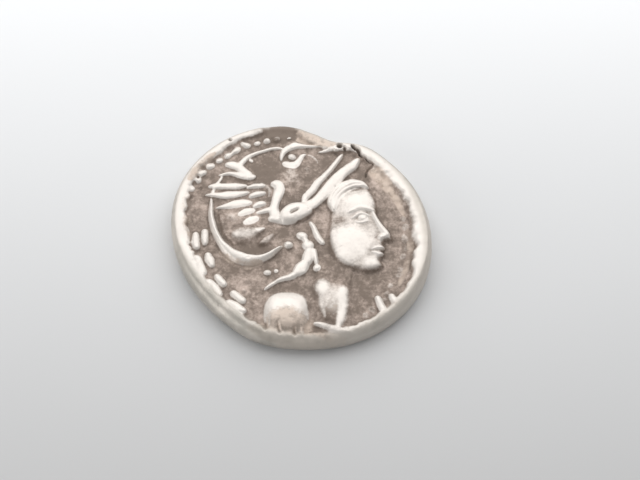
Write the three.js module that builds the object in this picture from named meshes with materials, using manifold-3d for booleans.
import * as THREE from 'three';
import { mergeVertices } from 'three/addons/utils/BufferGeometryUtils.js';
import Module from 'manifold-3d';

// A silver denarius: one piece, struck by hand. Sizes are in millimetres and bearings in degrees.
// +Z is up through the obverse, +X and +Y are right and up on its design. The coin lies at z = 0.

// ---- the flan ----
const FLAN = { longHalf: 9.7, shortHalf: 8.76, bearing: 144.3 };
const FLAN_SWELLS = [
  { bearing: 74, swell: -0.9, spread: 13.7 },
  { bearing: 88, swell: -0.17, spread: 6 },
  { bearing: 45, swell: -0.1, spread: 12 },
  { bearing: 250, swell: 0.27, spread: 18 },
  { bearing: 160, swell: 0.07, spread: 20 },
  { bearing: 334, swell: 0.06, spread: 16 },
];
const LEVEL = { reverseField: 0.34, obverseField: 1.46, wornTop: 2.1 };
const FLAN_SEGMENTS = 60;
const EDGE = { waist: 0.98, round: 0.46 };
const LAND = { inset: 1.15, slope: 0.35, wear: 0.04 };
// How wide the obverse rim is at each bearing, and how high it stands over the field.
const RIM = [
  { bearing: 0, width: 0.9, rise: 0.68 },
  { bearing: 30, width: 0.85, rise: 0.66 },
  { bearing: 52, width: 0.6, rise: 0.5 },
  { bearing: 66, width: 0.4, rise: 0.4 },
  { bearing: 78, width: 0.3, rise: 0.3 },
  { bearing: 90, width: 0.3, rise: 0.26 },
  { bearing: 95, width: 0.3, rise: 0.04 },
  { bearing: 106, width: 0.3, rise: 0.04 },
  { bearing: 111, width: 0.3, rise: 0.34 },
  { bearing: 128, width: 0.4, rise: 0.46 },
  { bearing: 150, width: 0.42, rise: 0.46 },
  { bearing: 170, width: 0.6, rise: 0.5 },
  { bearing: 190, width: 0.75, rise: 0.5 },
  { bearing: 215, width: 0.85, rise: 0.5 },
  { bearing: 240, width: 0.75, rise: 0.4 },
  { bearing: 258, width: 0.5, rise: 0.16 },
  { bearing: 288, width: 0.5, rise: 0.14 },
  { bearing: 306, width: 0.9, rise: 0.42 },
  { bearing: 330, width: 1.0, rise: 0.58 },
];

// ---- how the relief is made ----
const SINK = 0.14;
const STROKE_STEP = 0.85;
const STROKE_SIDES = 6;
const END_POWER = 8;
const JOIN_TOLERANCE = 0.004;

// ---- obverse: the beaded border ----
const BORDER = {
  centre: [-0.8, -0.6],
  radius: 8.27,
  beads: 66,
  first: 97,
  from: -46,
  to: 152,
  size: 0.5,
  rise: 0.28,
};

// ---- obverse: the helmet ----
const HELMET_MASSES = [
  { at: [-0.4, 4.1], size: [5.4, 5.2], turn: 62, rise: 0.26 },
  { at: [-0.7, 4.3], size: [2.6, 2.0], turn: 100, rise: 0.34 },
  { at: [-3.9, 0.6], size: [5.4, 5.2], turn: 120, rise: 0.18 },
  { at: [-4.0, -0.5], size: [2.5, 1.5], turn: 20, rise: 0.34 },
];
const CREST = {
  line: [[-3.95, 4.6], [-4.35, 5.6], [-3.1, 6.46], [-1.9, 6.76], [-1.4, 6.7]],
  width: [0.44, 0.36, 0.28, 0.26],
  rise: 0.4,
};
const NECK_GUARD = {
  line: [
    [-6.55, 2.4], [-6.38, 0.5], [-5.65, -1.35], [-4.1, -2.5], [-3.1, -2.62], [-2.3, -2.3], [-1.32, -1.58],
  ],
  width: [0.3, 0.42, 0.5, 0.7, 0.95, 0.85, 0.5, 0.3],
  rise: 0.5,
};
const GUARD_BEAD = { at: [-0.9, -1.42], size: [0.6, 0.58], rise: 0.38 };
const VISOR_RIDGES = [
  {
    line: [[0.15, 2.1], [0.8, 3.2], [1.9, 4.65], [2.85, 6.0], [3.05, 6.4]],
    width: [0.5, 0.56, 0.46, 0.34],
    rise: 0.52,
  },
  {
    line: [[0.2, 1.7], [1.0, 2.12], [2.45, 3.9], [3.7, 5.2], [4.25, 5.8]],
    width: [0.9, 0.9, 0.92, 0.8, 0.54],
    rise: 0.62,
  },
];
const VISOR_STUD = { at: [3.6, 6.78], size: [0.5, 0.6], rise: 0.46 };
const EAR_LOBE = { at: [-0.4, 1.22], size: [2.7, 1.5], turn: 22, rise: 0.66 };
const LOBE_BASE = { line: [[-2.3, 0.72], [-1.0, 0.6], [-0.3, 0.7]], width: [0.54, 0.72, 0.54], rise: 0.48 };
const EAR_SLOT = { line: [[-0.78, 1.04], [-0.1, 1.42]], width: 0.3, top: 0.64, depth: 0.34 };

// ---- obverse: the griffin's head on the crest ----
const GRIFFIN_STROKES = [
  {
    line: [[-1.5, 5.7], [-1.28, 6.5], [-0.4, 7.0], [1.0, 6.95], [1.9, 6.95]],
    width: [0.36, 0.48, 0.38, 0.24, 0.2],
    rise: 0.5,
  },
  {
    line: [[-1.35, 5.42], [-0.45, 5.38], [0.02, 6.15], [0.4, 6.28]],
    width: [0.5, 0.6, 0.32, 0.26],
    rise: 0.46,
  },
  { line: [[0.4, 6.24], [1.12, 5.85], [1.25, 5.5]], width: 0.24, rise: 0.34 },
  { line: [[1.25, 6.42], [2.25, 6.76]], width: 0.26, rise: 0.34 },
];
const GRIFFIN_EYE = { at: [-0.7, 6.1], size: [0.66, 0.58], rise: 0.5 };

// ---- obverse: the wing ----
const WING_EDGE = {
  line: [[-2.1, 3.72], [-1.82, 3.78], [-1.6, 3.35], [-1.88, 2.1], [-1.95, 0.9]],
  width: [0.5, 0.72, 0.66, 0.6, 0.76],
  rise: 0.6,
};
const FEATHERS = [
  { root: [-4.25, 4.8], tip: [-5.6, 5.45], width: [0.46, 0.6, 0.46] },
  { root: [-3.35, 4.33], tip: [-6.15, 4.42], width: [0.48, 0.44, 0.26] },
  { root: [-4.15, 3.6], tip: [-6.75, 3.62], width: [0.42, 0.5, 0.36] },
  { root: [-3.9, 2.96], tip: [-6.9, 2.85], width: [0.44, 0.58, 0.3] },
  { root: [-3.6, 2.2], tip: [-6.1, 1.64], width: [0.56, 0.68, 0.3] },
];
const FEATHER_RISE = 0.5;
const COVERTS = [
  { at: [-3.35, 3.52], size: [1.35, 0.48], turn: 8 },
  { at: [-3.18, 2.78], size: [1.3, 0.56], turn: 14 },
  { at: [-3.1, 1.93], size: [1.1, 0.64], turn: 24 },
  { at: [-3.9, 1.34], size: [1.25, 0.7], turn: 20 },
  { at: [-3.6, 0.6], size: [1.25, 0.74], turn: 22 },
  { at: [-2.72, 1.42], size: [1.25, 0.52], turn: 20 },
  { at: [-2.95, -0.1], size: [0.8, 0.42], turn: 12 },
  { at: [-2.45, -0.95], size: [1.15, 0.6], turn: 38 },
];
const COVERT_RISE = 0.46;

// ---- obverse: the hair ----
const HAIR_BAND = {
  line: [[2.35, 1.35], [2.4, 2.0], [2.7, 2.62], [3.2, 3.12], [3.85, 3.45], [4.85, 3.12]],
  width: [0.6, 0.95, 1.0, 0.8, 0.4],
  rise: 0.6,
};
const HAIR_LOCKS = [
  {
    line: [[0.62, -1.9], [0.5, -2.4], [0.3, -3.0], [-0.3, -3.75]],
    width: [0.6, 0.86, 0.86, 0.6],
    rise: 0.54,
  },
  {
    line: [[-0.3, -3.75], [-1.3, -4.14], [-1.75, -4.32], [-2.45, -4.95]],
    width: [0.56, 0.44, 0.38, 0.26],
    rise: 0.42,
  },
  { line: [[0.92, -1.75], [1.05, -2.3], [1.12, -2.95]], width: [0.42, 0.36], rise: 0.46 },
  { line: [[0.66, 0.5], [1.02, -0.3], [1.6, -1.3]], width: [0.34, 0.36, 0.42], rise: 0.46 },
];
const HAIR_BEADS = [
  { at: [0.04, -0.6], size: [0.86, 0.66], turn: -30, rise: 0.44 },
  { at: [0.52, -1.42], size: [0.94, 0.9], rise: 0.54 },
  { at: [1.15, -3.22], size: [0.56, 0.54], rise: 0.44 },
  { at: [-2.35, -3.6], size: [0.52, 0.4], rise: 0.3 },
  { at: [-4.0, -4.95], size: [0.75, 0.6], rise: 0.22 },
];

// ---- obverse: the face, drawn on plain thirds from hairline to chin ----
const FACE = { hairline: 3.45, chin: -3.55, front: 5.5, noseReach: 1.15, rise: 0.34, bevel: 0.16 };
const THIRD = (FACE.hairline - FACE.chin) / 3;
const BROW = FACE.hairline - THIRD;
const NOSE_BASE = BROW - THIRD;
const MOUTH = NOSE_BASE - THIRD / 3;

// ---- obverse: neck, bust and shoulder ----
const NECK = {
  column: [[1.3, -2.2], [0.85, -4.6], [1.15, -7.3], [2.9, -7.6], [3.45, -5.0], [3.9, -3.1]],
  rise: 0.22,
  bevel: 0.12,
};
const NECK_RIDGES = [
  { line: [[1.35, -4.5], [1.45, -5.7], [1.5, -6.45]], width: [0.9, 0.76, 0.46], rise: 0.42 },
  {
    line: [[3.1, -4.6], [3.06, -5.3], [2.92, -6.2], [2.62, -7.5]],
    width: [0.64, 0.86, 0.74, 0.5],
    rise: 0.46,
  },
];
const BUST_LINE = { line: [[0.9, -7.6], [2.4, -8.04], [3.3, -8.24]], width: [0.4, 0.66, 0.46], rise: 0.5 };
const SHOULDER = { at: [-1.0, -6.78], size: [3.36, 3.3], rise: 0.66 };
const SHOULDER_FRINGE = {
  across: [-2.4, -1.48, -0.36],
  from: -7.45,
  to: -8.35,
  width: 0.42,
  top: 0.42,
  depth: 0.4,
};
const SHOULDER_SPUR = { line: [[-3.7, -7.66], [-2.75, -7.5]], width: 0.38, rise: 0.34 };

// ---- obverse: strokes where an inscription stood ----
const LEGEND = {
  centre: [-0.8, -0.6],
  rows: [6.3, 6.87, 7.44],
  groups: [182.5, 200, 217.5, 235.5],
  half: 4.9,
  shift: 1.2,
  width: 0.46,
  rise: 0.36,
};
const MARK = {
  from: [5.5, -5.6],
  to: [5.9, -6.4],
  step: [0.85, 0.1],
  strokes: 2,
  width: 0.46,
  rise: 0.42,
};

// ---- obverse: chips and cracks ----
const CRACK = {
  line: [[3.78, 7.05], [4.3, 6.35], [4.7, 5.88], [5.15, 5.42]],
  width: [0.5, 0.42, 0.3],
  top: 0.5,
  depth: 0.4,
};
const CHIPS = [
  { at: [2.8, 7.0], size: [0.8, 0.7], top: 0.4, depth: 0.36 },
  { at: [-5.35, 7.45], size: [0.5, 0.36], turn: 140, top: 0.46, depth: 0.3 },
];

// ---- reverse, as it looks from its own side: two horses and a chariot over an exergue line ----
const HORSE_MASSES = [
  { at: [1.4, -0.1], size: [3.9, 1.6], turn: 12 },
  { at: [0.1, -0.5], size: [1.9, 1.9], turn: 0 },
  { at: [2.9, 0.3], size: [1.7, 1.8], turn: 20 },
];
const HORSE_STROKES = [
  { line: [[2.9, 0.6], [3.8, 1.8], [4.5, 2.6]], width: [1.5, 1.1, 0.8] },
  { line: [[4.3, 2.8], [5.0, 2.3], [5.6, 1.8]], width: [0.85, 0.6] },
  { line: [[3.2, 0.0], [4.7, 0.2], [5.2, -0.9]], width: [0.7, 0.44] },
  { line: [[2.9, -0.3], [4.1, -0.9], [4.0, -2.0]], width: [0.7, 0.44] },
  { line: [[-0.1, -0.9], [-0.7, -2.0], [0.0, -3.0], [0.4, -4.1]], width: [0.9, 0.5, 0.44] },
  { line: [[0.6, -0.8], [0.6, -2.0], [1.4, -3.0], [1.7, -4.1]], width: [0.9, 0.5, 0.44] },
];
const FAR_HORSE_STEP = [0.95, 0.95];
const CHARIOT_STROKES = [
  { line: [[-5.3, -1.4], [-4.5, -2.0], [-3.0, -2.0], [-2.0, -0.9]], width: [0.5, 0.8, 0.55] },
  { line: [[-3.7, -1.7], [-3.5, 0.2], [-3.0, 1.8]], width: [1.9, 1.3, 1.1] },
  { line: [[-2.9, 1.4], [-1.7, 0.9], [3.2, 1.9]], width: [0.6, 0.36, 0.3] },
  { line: [[-2.9, 1.6], [-1.6, 2.2], [-0.2, 3.7]], width: [0.6, 0.4, 0.34] },
  { line: [[-3.4, 1.6], [-4.9, 2.9], [-5.5, 4.2]], width: [0.8, 0.75, 0.4] },
  { line: [[-3.6, 1.0], [-5.4, 1.9], [-6.4, 2.9]], width: [0.7, 0.65, 0.4] },
];
const DRIVER_HEAD = { at: [-2.7, 2.8], size: [1.2, 1.3] };
const WHEEL = { at: [-3.7, -3.2], radius: 1.05, tube: 0.22, level: 0.06 };
const SPOKES = { count: 2, width: 0.26, rise: 0.18 };
const EXERGUE = { half: 6.4, at: -4.8, width: 0.36, rise: 0.26 };
const EXERGUE_DASHES = { count: 5, gap: 1.3, at: -6.0, tall: 0.9, lean: 0.3, width: 0.42, rise: 0.24 };
const REVERSE_BORDER = {
  centre: [0.5, 0.4],
  radius: 7.7,
  beads: 52,
  first: 0,
  from: 140,
  to: 240,
  size: 0.6,
  rise: 0.26,
};
const REVERSE_RISE = 0.4;

const wasm = await Module();
wasm.setup();

/** Turns a closed geometry into a solid that can be joined and cut. */
function solidOf(geometry) {
  const bare = geometry.clone();
  bare.deleteAttribute('normal');
  bare.deleteAttribute('uv');
  const welded = mergeVertices(bare, 1e-4);
  const corners = welded.index.array;
  const kept = [];
  for (let i = 0; i < corners.length; i += 3) {
    const [a, b, c] = [corners[i], corners[i + 1], corners[i + 2]];
    if (a !== b && b !== c && c !== a) kept.push(a, b, c);
  }
  return new wasm.Manifold(new wasm.Mesh({
    numProp: 3,
    vertProperties: welded.attributes.position.array,
    triVerts: new Uint32Array(kept),
    tolerance: JOIN_TOLERANCE,
  }));
}

/** The value of a list of evenly spaced numbers, or of one number, at a share along it. */
function valueAlong(values, share) {
  if (!Array.isArray(values)) return values;
  const place = share * (values.length - 1);
  const low = Math.min(Math.floor(place), values.length - 2);
  return THREE.MathUtils.lerp(values[low], values[low + 1], place - low);
}

/** The point at a bearing on a circle. */
function pointAt(centre, radius, bearing) {
  const turn = THREE.MathUtils.degToRad(bearing);
  return [centre[0] + radius * Math.cos(turn), centre[1] + radius * Math.sin(turn)];
}

/** A rounded bar with blunt ends that follows a smooth line, its middle sunk in a field at z = 0. */
function stroke({ line, width, rise, sink = SINK }) {
  const points = line.map(([x, y]) => new THREE.Vector3(x, y, 0));
  const path = new THREE.CatmullRomCurve3(points, false, 'centripetal');
  const steps = line.length === 2 ? 4 : Math.max(5, Math.round(path.getLength() / STROKE_STEP));
  const bar = new THREE.CylinderGeometry(1, 1, 1, STROKE_SIDES, steps);
  const place = bar.attributes.position;
  for (let i = 0; i < place.count; i += 1) {
    const along = 0.5 + 0.5 * Math.sin(Math.PI * THREE.MathUtils.clamp(place.getY(i), -0.5, 0.5));
    const centre = path.getPointAt(along);
    const heading = path.getTangentAt(along);
    const rounding = Math.sqrt(1 - 0.85 * Math.abs(2 * along - 1) ** END_POWER);
    const side = 0.5 * valueAlong(width, along) * rounding * place.getX(i);
    const up = (rise + sink) * rounding * place.getZ(i) - sink;
    place.setXYZ(i, centre.x + heading.y * side, centre.y - heading.x * side, up);
  }
  return bar;
}

/** A lens or bead: an ellipsoid over a field at z = 0, its middle sunk in it. */
function boss({ at, size, turn = 0, rise, sink = SINK }) {
  const around = THREE.MathUtils.clamp(Math.round(size[0] * 4), 6, 16);
  const dome = new THREE.SphereGeometry(1, around, Math.max(3, Math.round(around / 2.5)));
  dome.rotateX(Math.PI / 2);
  dome.scale(size[0] / 2, size[1] / 2, rise + sink);
  dome.rotateZ(THREE.MathUtils.degToRad(turn));
  return dome.translate(at[0], at[1], -sink);
}

/** A low plate with a bevelled top edge, over a field at z = 0. */
function plate(shape, { rise, bevel }) {
  const slab = new THREE.ExtrudeGeometry(shape, {
    depth: rise + SINK - bevel,
    curveSegments: 5,
    bevelEnabled: true,
    bevelThickness: bevel,
    bevelSize: bevel,
    bevelOffset: -bevel,
    bevelSegments: 1,
  });
  return slab.translate(0, 0, -SINK);
}

/** The flan's radius at a bearing. */
function flanRadius(bearing) {
  const turn = THREE.MathUtils.degToRad(bearing - FLAN.bearing);
  const across = Math.hypot(FLAN.shortHalf * Math.cos(turn), FLAN.longHalf * Math.sin(turn));
  const swell = FLAN_SWELLS.reduce((sum, one) => {
    const away = THREE.MathUtils.euclideanModulo(bearing - one.bearing + 180, 360) - 180;
    return sum + one.swell * Math.exp(-((away / one.spread) ** 2));
  }, 0);
  return (FLAN.longHalf * FLAN.shortHalf) / across + swell;
}

/** The rim's width and rise at a bearing, eased between the entries of RIM. */
function rimAt(bearing) {
  const turn = THREE.MathUtils.euclideanModulo(bearing, 360);
  const next = RIM.findIndex((entry) => entry.bearing > turn);
  const high = next < 0 ? { ...RIM[0], bearing: 360 } : RIM[next];
  const low = next < 0 ? RIM[RIM.length - 1] : RIM[next - 1];
  const share = THREE.MathUtils.smoothstep(turn, low.bearing, high.bearing);
  return {
    width: THREE.MathUtils.lerp(low.width, high.width, share),
    rise: THREE.MathUtils.lerp(low.rise, high.rise, share),
  };
}

/**
 * The rings of the flan, from the middle of the reverse, round the edge, to the middle of the obverse.
 * Each gives its inset from the outline and its height.
 */
function flanRings(rim) {
  const crest = LEVEL.obverseField + rim.rise;
  const shoulder = (share) => THREE.MathUtils.lerp(EDGE.waist, crest, share);
  return [
    [Infinity, LEVEL.reverseField],
    [LAND.inset + LAND.slope, LEVEL.reverseField],
    [LAND.inset, -LAND.wear],
    [EDGE.round, -LAND.wear],
    [EDGE.round * 0.32, EDGE.waist * 0.2],
    [0, EDGE.waist * 0.55],
    [0, EDGE.waist],
    [EDGE.round * 0.2, shoulder(0.55)],
    [EDGE.round * 0.6, shoulder(0.88)],
    [EDGE.round, crest],
    [EDGE.round + rim.width * 0.55, crest],
    [EDGE.round + rim.width, LEVEL.obverseField],
    [Infinity, LEVEL.obverseField],
  ];
}

/** The blank: a lathe turned on the ring numbers, whose rings are then laid along the flan's outline. */
function flan() {
  const last = flanRings(RIM[0]).length - 1;
  const profile = Array.from({ length: last + 1 }, (_, i) => new THREE.Vector2(i % last ? 1 : 0, i));
  const blank = new THREE.LatheGeometry(profile, FLAN_SEGMENTS).rotateX(Math.PI / 2);
  const place = blank.attributes.position;
  for (let i = 0; i < place.count; i += 1) {
    const turn = Math.atan2(place.getY(i), place.getX(i));
    const bearing = THREE.MathUtils.radToDeg(turn);
    const [inset, z] = flanRings(rimAt(bearing))[Math.round(place.getZ(i))];
    const radius = Math.max(0, flanRadius(bearing) - inset);
    place.setXYZ(i, radius * Math.cos(turn), radius * Math.sin(turn), z);
  }
  return blank;
}

/** A ring of beads, of which only an arc shows. */
function beadRing({ centre, radius, beads, first, from, to, size, rise }) {
  const pitch = 360 / beads;
  const start = Math.ceil((from - first) / pitch);
  const end = Math.floor((to - first) / pitch);
  return Array.from({ length: end - start + 1 }, (_, i) => {
    const at = pointAt(centre, radius, first + (start + i) * pitch);
    return boss({ at, size: [size, size], rise });
  });
}

/** The helmet: its bowl, crest line, neck guard, visor and ear lobe. */
function helmet() {
  return [
    ...HELMET_MASSES.map(boss),
    ...[CREST, NECK_GUARD, LOBE_BASE, ...VISOR_RIDGES].map(stroke),
    ...[GUARD_BEAD, VISOR_STUD, EAR_LOBE].map(boss),
  ];
}

/** The griffin's head that tops the helmet. */
function griffin() {
  return [...GRIFFIN_STROKES.map(stroke), boss(GRIFFIN_EYE)];
}

/** The wing on the helmet's side: its leading edge, long feathers and coverts. */
function wing() {
  return [
    stroke(WING_EDGE),
    ...FEATHERS.map(({ root, tip, width }) => stroke({ line: [root, tip], width, rise: FEATHER_RISE })),
    ...COVERTS.map((covert) => boss({ ...covert, rise: COVERT_RISE })),
  ];
}

/** The hair over the forehead and the locks behind the cheek. */
function hair() {
  return [stroke(HAIR_BAND), ...HAIR_LOCKS.map(stroke), ...HAIR_BEADS.map(boss)];
}

/** The outline of the head: down the profile from the hairline, then back along the jaw to the ear. */
function faceOutline() {
  const { hairline, chin, front, noseReach } = FACE;
  const shape = new THREE.Shape();
  shape.moveTo(1.0, 2.0);
  shape.lineTo(2.5, 3.2);
  shape.lineTo(front - 0.75, hairline);
  shape.quadraticCurveTo(front - 0.1, hairline - 0.9, front, BROW + 0.2);
  shape.lineTo(front - 0.08, BROW - 0.25);
  shape.lineTo(front + noseReach, NOSE_BASE + 0.42);
  shape.quadraticCurveTo(front + noseReach + 0.02, NOSE_BASE + 0.05, front + 0.5, NOSE_BASE);
  shape.lineTo(front + 0.5, MOUTH + 0.4);
  shape.lineTo(front + 0.3, MOUTH);
  shape.lineTo(front + 0.42, MOUTH - 0.4);
  shape.lineTo(front + 0.16, MOUTH - 0.66);
  shape.quadraticCurveTo(front + 0.5, MOUTH - 1.3, front - 0.35, chin);
  shape.quadraticCurveTo(2.7, chin + 0.1, 1.7, -2.3);
  shape.quadraticCurveTo(0.9, -1.2, 0.9, 0.6);
  return shape;
}

/** The eye in profile: its ball, its two lids and the brow over it. */
function eye() {
  const [x, y] = [FACE.front - 1.15, BROW - 0.45];
  const upperLid = [[x - 0.7, y - 0.04], [x, y + 0.38], [x + 0.6, y + 0.1]];
  const lowerLid = [[x - 0.55, y - 0.2], [x, y - 0.38], [x + 0.55, y - 0.22]];
  const brow = [[x - 0.95, BROW], [x, BROW + 0.46], [x + 0.95, BROW + 0.1]];
  return [
    boss({ at: [x + 0.05, y], size: [0.95, 0.56], turn: -6, rise: 0.52 }),
    stroke({ line: upperLid, width: [0.2, 0.28, 0.22], rise: 0.57 }),
    stroke({ line: lowerLid, width: [0.2, 0.24], rise: 0.52 }),
    stroke({ line: brow, width: [0.3, 0.46, 0.4], rise: 0.55 }),
  ];
}

/** The nose and the lips, each a rounded form on the profile. */
function noseAndLips() {
  const { front } = FACE;
  return [
    stroke({
      line: [[front - 0.25, BROW - 0.05], [front + 0.25, BROW - 1.1], [front + 0.8, NOSE_BASE + 0.5]],
      width: [0.44, 0.56, 0.8],
      rise: 0.56,
    }),
    boss({ at: [front + 0.28, NOSE_BASE + 0.34], size: [0.9, 0.66], turn: 20, rise: 0.6 }),
    stroke({
      line: [[front - 0.5, MOUTH + 0.08], [front + 0.05, MOUTH + 0.28], [front + 0.4, MOUTH + 0.18]],
      width: [0.2, 0.38, 0.34],
      rise: 0.55,
    }),
    stroke({
      line: [[front - 0.45, MOUTH - 0.1], [front, MOUTH - 0.33], [front + 0.34, MOUTH - 0.26]],
      width: [0.2, 0.42, 0.34],
      rise: 0.55,
    }),
  ];
}

/** The face: one plate for its profile, with the forehead, cheek, jaw and chin as rounded masses. */
function face() {
  return [
    plate(faceOutline(), FACE),
    boss({ at: [4.0, 1.9], size: [2.9, 2.6], turn: 30, rise: 0.46 }),
    boss({ at: [3.5, -1.2], size: [4.4, 4.1], turn: -25, rise: 0.56 }),
    boss({ at: [3.0, -2.45], size: [3.4, 1.7], turn: -18, rise: 0.5 }),
    boss({ at: [FACE.front - 0.5, FACE.chin + 0.66], size: [1.7, 1.25], turn: 10, rise: 0.57 }),
    ...eye(),
    ...noseAndLips(),
  ];
}

/** The neck with its two long ridges, the bust line under it and the domed shoulder. */
function neckAndShoulder() {
  const column = new THREE.Shape(NECK.column.map(([x, y]) => new THREE.Vector2(x, y)));
  return [plate(column, NECK), ...[...NECK_RIDGES, BUST_LINE, SHOULDER_SPUR].map(stroke), boss(SHOULDER)];
}

/** Short strokes in three rows where an inscription stood, and a pair of strokes under the chin. */
function legend() {
  const rows = LEGEND.groups.flatMap((bearing) => LEGEND.rows.map((radius, row) => {
    const middle = bearing + (row % 2 ? LEGEND.shift : -LEGEND.shift);
    const ends = [-1, 1].map((side) => pointAt(LEGEND.centre, radius, middle + side * LEGEND.half));
    return stroke({ line: ends, width: LEGEND.width, rise: LEGEND.rise });
  }));
  const marks = Array.from({ length: MARK.strokes }, (_, i) => stroke({
    line: [MARK.from, MARK.to].map(([x, y]) => [x + i * MARK.step[0], y + i * MARK.step[1]]),
    width: MARK.width,
    rise: MARK.rise,
  }));
  return [...rows, ...marks];
}

/** What is cut from the obverse: the ear slot, the shoulder's fringe, the crack and the chips. */
function obverseCuts() {
  const { across, from, to, ...section } = SHOULDER_FRINGE;
  const fringe = across.map((x) => ({ ...section, line: [[x, from], [x, to]] }));
  const sunk = (tool) => ({ ...tool, rise: tool.top + tool.depth, sink: -tool.top });
  return [...[EAR_SLOT, ...fringe, CRACK].map(sunk).map(stroke), ...CHIPS.map(sunk).map(boss)];
}

/** One horse: its barrel, haunch and chest, then neck, head and legs. A far horse shows only the last. */
function horse([dx, dy], isNear) {
  const rise = REVERSE_RISE;
  const shift = ([x, y]) => [x + dx, y + dy];
  const limbs = HORSE_STROKES.map(({ line, width }) => stroke({ line: line.map(shift), width, rise }));
  if (!isNear) return limbs.slice(0, 4);
  return [...limbs, ...HORSE_MASSES.map((mass) => boss({ ...mass, at: shift(mass.at), rise }))];
}

/** The chariot's wheel: a ring and its crossed spokes. */
function wheel() {
  const tyre = new THREE.TorusGeometry(WHEEL.radius, WHEEL.tube, 6, 14).translate(...WHEEL.at, WHEEL.level);
  const spokes = Array.from({ length: SPOKES.count }, (_, i) => {
    const bearing = 45 + (i * 180) / SPOKES.count;
    const ends = [bearing, bearing + 180].map((end) => pointAt(WHEEL.at, WHEEL.radius, end));
    return stroke({ line: ends, width: SPOKES.width, rise: SPOKES.rise });
  });
  return [tyre, ...spokes];
}

/** The exergue: the ground line and a row of short leaning strokes under it. */
function exergue() {
  const { count, gap, at, tall, lean, width, rise } = EXERGUE_DASHES;
  const ground = stroke({ ...EXERGUE, line: [[-EXERGUE.half, EXERGUE.at], [EXERGUE.half, EXERGUE.at]] });
  const dashes = Array.from({ length: count }, (_, i) => {
    const x = (i - (count - 1) / 2) * gap;
    return stroke({ line: [[x - lean / 2, at - tall / 2], [x + lean / 2, at + tall / 2]], width, rise });
  });
  return [ground, ...dashes];
}

/** The reverse: horses, chariot and driver, wheel, exergue and what shows of the beaded border. */
function reverse() {
  return [
    ...horse([0, 0], true),
    ...horse(FAR_HORSE_STEP, false),
    ...CHARIOT_STROKES.map((part) => stroke({ ...part, rise: REVERSE_RISE })),
    boss({ ...DRIVER_HEAD, rise: REVERSE_RISE }),
    ...wheel(),
    ...exergue(),
    ...beadRing(REVERSE_BORDER),
  ];
}

/** A slab as wide as the coin and more, to wear a face down to one level. */
function wearSlab(bottom, top) {
  return solidOf(new THREE.BoxGeometry(24, 24, top - bottom).translate(0, 0, (bottom + top) / 2));
}

const toObverse = (geometry) => geometry.translate(0, 0, LEVEL.obverseField);
const toReverse = (geometry) => geometry.rotateY(Math.PI).translate(0, 0, LEVEL.reverseField);
const join = (body, geometry) => body.add(solidOf(geometry));
const cut = (body, geometry) => body.subtract(solidOf(geometry));

/** The whole coin: the flan with both designs struck on it, then cut, chipped and worn flat. */
function strikeCoin() {
  const obverse = [
    ...beadRing(BORDER),
    ...helmet(),
    ...griffin(),
    ...wing(),
    ...face(),
    ...neckAndShoulder(),
    ...hair(),
    ...legend(),
  ];
  const blank = solidOf(flan());
  const struck = reverse().map(toReverse).reduce(join, obverse.map(toObverse).reduce(join, blank));
  const marked = obverseCuts().map(toObverse).reduce(cut, struck);
  return marked.intersect(wearSlab(0, LEVEL.wornTop));
}

/** A solid's triangles as a three.js geometry. */
function geometryOf(solid) {
  const { vertProperties, triVerts } = solid.getMesh();
  const geometry = new THREE.BufferGeometry();
  geometry.setAttribute('position', new THREE.BufferAttribute(vertProperties, 3));
  geometry.setIndex(new THREE.BufferAttribute(triVerts, 1));
  geometry.computeVertexNormals();
  return geometry;
}

const silver = new THREE.MeshStandardMaterial({ color: 0xbfb2a6, roughness: 0.42, metalness: 0.9 });
const coin = new THREE.Mesh(geometryOf(strikeCoin()), silver);
coin.name = 'coin';

const denarius = new THREE.Group();
denarius.add(coin);

export default denarius;
